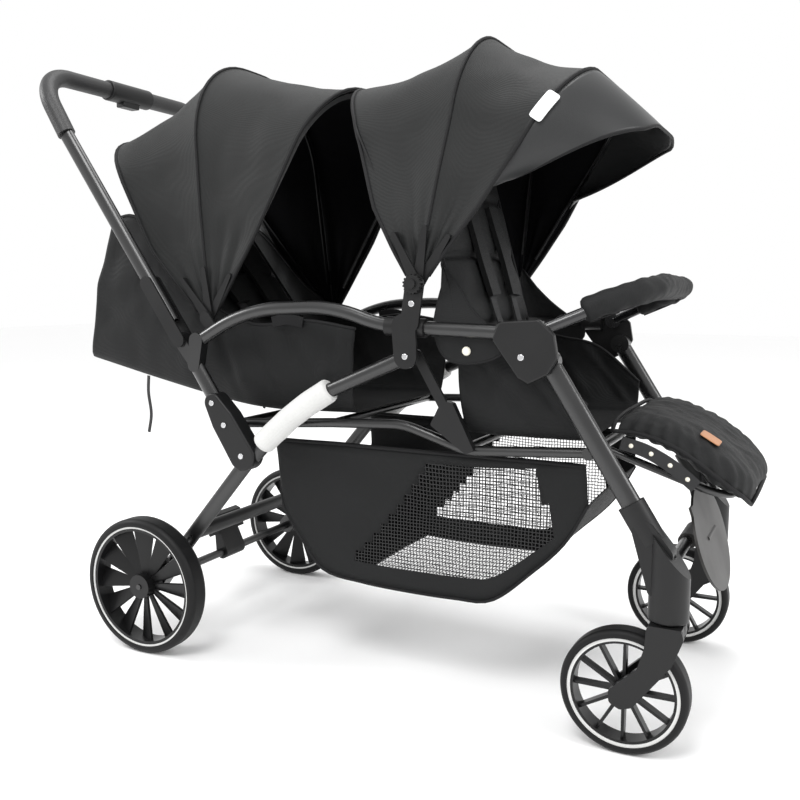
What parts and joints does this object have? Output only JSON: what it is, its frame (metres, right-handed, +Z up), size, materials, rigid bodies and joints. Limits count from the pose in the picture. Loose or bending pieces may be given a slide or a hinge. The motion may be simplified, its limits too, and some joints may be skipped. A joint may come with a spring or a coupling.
{
  "type": "tandem double stroller",
  "caption": "Folding tandem stroller: two padded seats in line under folding hoods, cargo basket, push bar, swivelling front wheels and large rear wheels.",
  "frame": {"origin": "on the floor, under the middle of the overall length and width", "axes": "+X forward in the direction of travel, +Y to the stroller's left, +Z up"},
  "size_m": [1.2825, 0.55, 1.081],
  "materials": {
    "frame_tube": "satin",
    "black_plastic": "satin",
    "ring_grey": "satin",
    "tyre_rubber": "matte",
    "steel": "satin",
    "charcoal_fabric": "matte",
    "mesh_fabric": "matte",
    "grey_wrap": "matte",
    "grip_leather": "satin",
    "footrest_plastic": "satin"
  },
  "bodies": {
    "chassis": {"side_rails": "frame_tube", "rear_uprights": "frame_tube", "lower_links": "frame_tube", "carry_sleeves": "grey_wrap", "joint_housings": "black_plastic", "mid_plates": "black_plastic", "front_brackets": "black_plastic", "seat_frame": "frame_tube", "seat_struts": "black_plastic", "hood_hubs": "black_plastic", "front_hood_rear_bow": "black_plastic", "rear_hood_rear_bow": "black_plastic", "front_seat_cover": "charcoal_fabric", "rear_seat_cover": "charcoal_fabric", "basket": "mesh_fabric", "frame_rivets": "steel", "front_hood_back_cloth": "charcoal_fabric", "rear_hood_back_cloth": "charcoal_fabric"},
    "handle": {"handle_tubes": "frame_tube", "push_bar": "frame_tube", "handle_grips": "grip_leather", "fold_housing": "black_plastic", "fold_plates": "steel"},
    "fold_button": {"fold_button": "black_plastic"},
    "front_legs": {"front_leg_tubes": "frame_tube", "caster_housings": "black_plastic", "front_cross_tube": "frame_tube", "footrest": "footrest_plastic"},
    "rear_legs": {"rear_leg_tubes": "frame_tube", "rear_axle_bar": "steel", "rear_crossbar": "black_plastic"},
    "brake": {"brake_pedal": "black_plastic"},
    "front_hood_mid": {"front_hood_mid_bow": "black_plastic", "front_hood_front_cloth": "charcoal_fabric"},
    "front_hood_front": {"front_hood_front_bow": "black_plastic", "visor": "charcoal_fabric"},
    "rear_hood_mid": {"rear_hood_mid_bow": "black_plastic", "rear_hood_front_cloth": "charcoal_fabric"},
    "rear_hood_front": {"rear_hood_front_bow": "black_plastic"},
    "front_back": {"front_backrest": "charcoal_fabric"},
    "rear_back": {"rear_backrest": "charcoal_fabric"},
    "leg_rest": {"leg_rest_loop": "frame_tube", "leg_rest_pad": "charcoal_fabric"},
    "bumper_bar": {"bumper_tube": "frame_tube", "bumper_cover": "charcoal_fabric"},
    "caster_right": {"caster_fork_right": "black_plastic"},
    "front_wheel_right": {"front_tyre_right": "tyre_rubber", "front_rim_right": "black_plastic", "front_ring_right": "ring_grey"},
    "rear_wheel_right": {"rear_tyre_right": "tyre_rubber", "rear_rim_right": "black_plastic", "rear_ring_right": "ring_grey"},
    "caster_left": {"caster_fork_left": "black_plastic"},
    "front_wheel_left": {"front_tyre_left": "tyre_rubber", "front_rim_left": "black_plastic", "front_ring_left": "ring_grey"},
    "rear_wheel_left": {"rear_tyre_left": "tyre_rubber", "rear_rim_left": "black_plastic", "rear_ring_left": "ring_grey"}
  },
  "joints": [
    {"name": "frame_fold", "type": "hinge", "parent": "chassis", "child": "handle", "pos_m": [-0.297, 0, 0.575], "axis": [0, 1, 0], "range_deg": [-125, 0]},
    {"name": "front_leg_fold", "type": "hinge", "parent": "chassis", "child": "front_legs", "pos_m": [0.361, 0, 0.56], "axis": [0, 1, 0], "range_deg": [0, 70], "deforming": ["basket"]},
    {"name": "rear_leg_fold", "type": "hinge", "parent": "chassis", "child": "rear_legs", "pos_m": [-0.167, 0, 0.381], "axis": [0, 1, 0], "range_deg": [-50, 0]},
    {"name": "fold_button_press", "type": "slide", "parent": "handle", "child": "fold_button", "axis": [0, 0, 1], "range_m": [0, 0.005], "stiffness_N_per_m": 200, "springref_m": -0.005},
    {"name": "brake_press", "type": "hinge", "parent": "rear_legs", "child": "brake", "pos_m": [-0.385, 0, 0.125], "axis": [0, 1, 0], "range_deg": [-22, 0]},
    {"name": "front_hood_fold", "type": "hinge", "parent": "chassis", "child": "front_hood_mid", "pos_m": [0.158, 0, 0.67], "axis": [0, 1, 0], "range_deg": [-27, 0], "deforming": ["front_hood_back_cloth", "front_hood_front_cloth"]},
    {"name": "front_hood_lead", "type": "hinge", "parent": "front_hood_mid", "child": "front_hood_front", "pos_m": [0.158, 0, 0.67], "axis": [0, 1, 0], "range_deg": [-18, 0]},
    {"name": "rear_hood_fold", "type": "hinge", "parent": "chassis", "child": "rear_hood_mid", "pos_m": [-0.255, 0, 0.613], "axis": [0, 1, 0], "range_deg": [-24, 0], "deforming": ["rear_hood_back_cloth", "rear_hood_front_cloth"]},
    {"name": "rear_hood_lead", "type": "hinge", "parent": "rear_hood_mid", "child": "rear_hood_front", "pos_m": [-0.255, 0, 0.613], "axis": [0, 1, 0], "range_deg": [-28, 0]},
    {"name": "front_back_recline", "type": "hinge", "parent": "chassis", "child": "front_back", "pos_m": [0.23, 0, 0.47], "axis": [0, 1, 0], "range_deg": [-25, 0]},
    {"name": "rear_back_recline", "type": "hinge", "parent": "chassis", "child": "rear_back", "pos_m": [-0.232, 0, 0.492], "axis": [0, 1, 0], "range_deg": [0, 30]},
    {"name": "leg_rest_lift", "type": "hinge", "parent": "chassis", "child": "leg_rest", "pos_m": [0.415, 0, 0.425], "axis": [0, 1, 0], "range_deg": [-30, 0]},
    {"name": "bumper_swing", "type": "hinge", "parent": "chassis", "child": "bumper_bar", "pos_m": [0.346, 0, 0.603], "axis": [0, 1, 0], "range_deg": [0, 45]},
    {"name": "caster_swivel_right", "type": "hinge", "parent": "front_legs", "child": "caster_right", "pos_m": [0.54, -0.228, 0.2], "axis": [0, 0, 1], "continuous": true},
    {"name": "front_wheel_spin_right", "type": "hinge", "parent": "caster_right", "child": "front_wheel_right", "pos_m": [0.483, -0.228, 0.092], "axis": [0, 1, 0], "continuous": true},
    {"name": "rear_wheel_spin_right", "type": "hinge", "parent": "rear_legs", "child": "rear_wheel_right", "pos_m": [-0.385, -0.254, 0.125], "axis": [0, 1, 0], "continuous": true},
    {"name": "caster_swivel_left", "type": "hinge", "parent": "front_legs", "child": "caster_left", "pos_m": [0.54, 0.228, 0.2], "axis": [0, 0, 1], "continuous": true},
    {"name": "front_wheel_spin_left", "type": "hinge", "parent": "caster_left", "child": "front_wheel_left", "pos_m": [0.483, 0.228, 0.092], "axis": [0, 1, 0], "continuous": true},
    {"name": "rear_wheel_spin_left", "type": "hinge", "parent": "rear_legs", "child": "rear_wheel_left", "pos_m": [-0.385, 0.254, 0.125], "axis": [0, 1, 0], "continuous": true}
  ],
  "couplings": [
    {"joint": "front_leg_fold", "follows": "frame_fold", "ratio": -0.56},
    {"joint": "rear_leg_fold", "follows": "frame_fold", "ratio": 0.4},
    {"joint": "front_hood_lead", "follows": "front_hood_fold", "ratio": 0.66667},
    {"joint": "rear_hood_lead", "follows": "rear_hood_fold", "ratio": 1.1667}
  ]
}
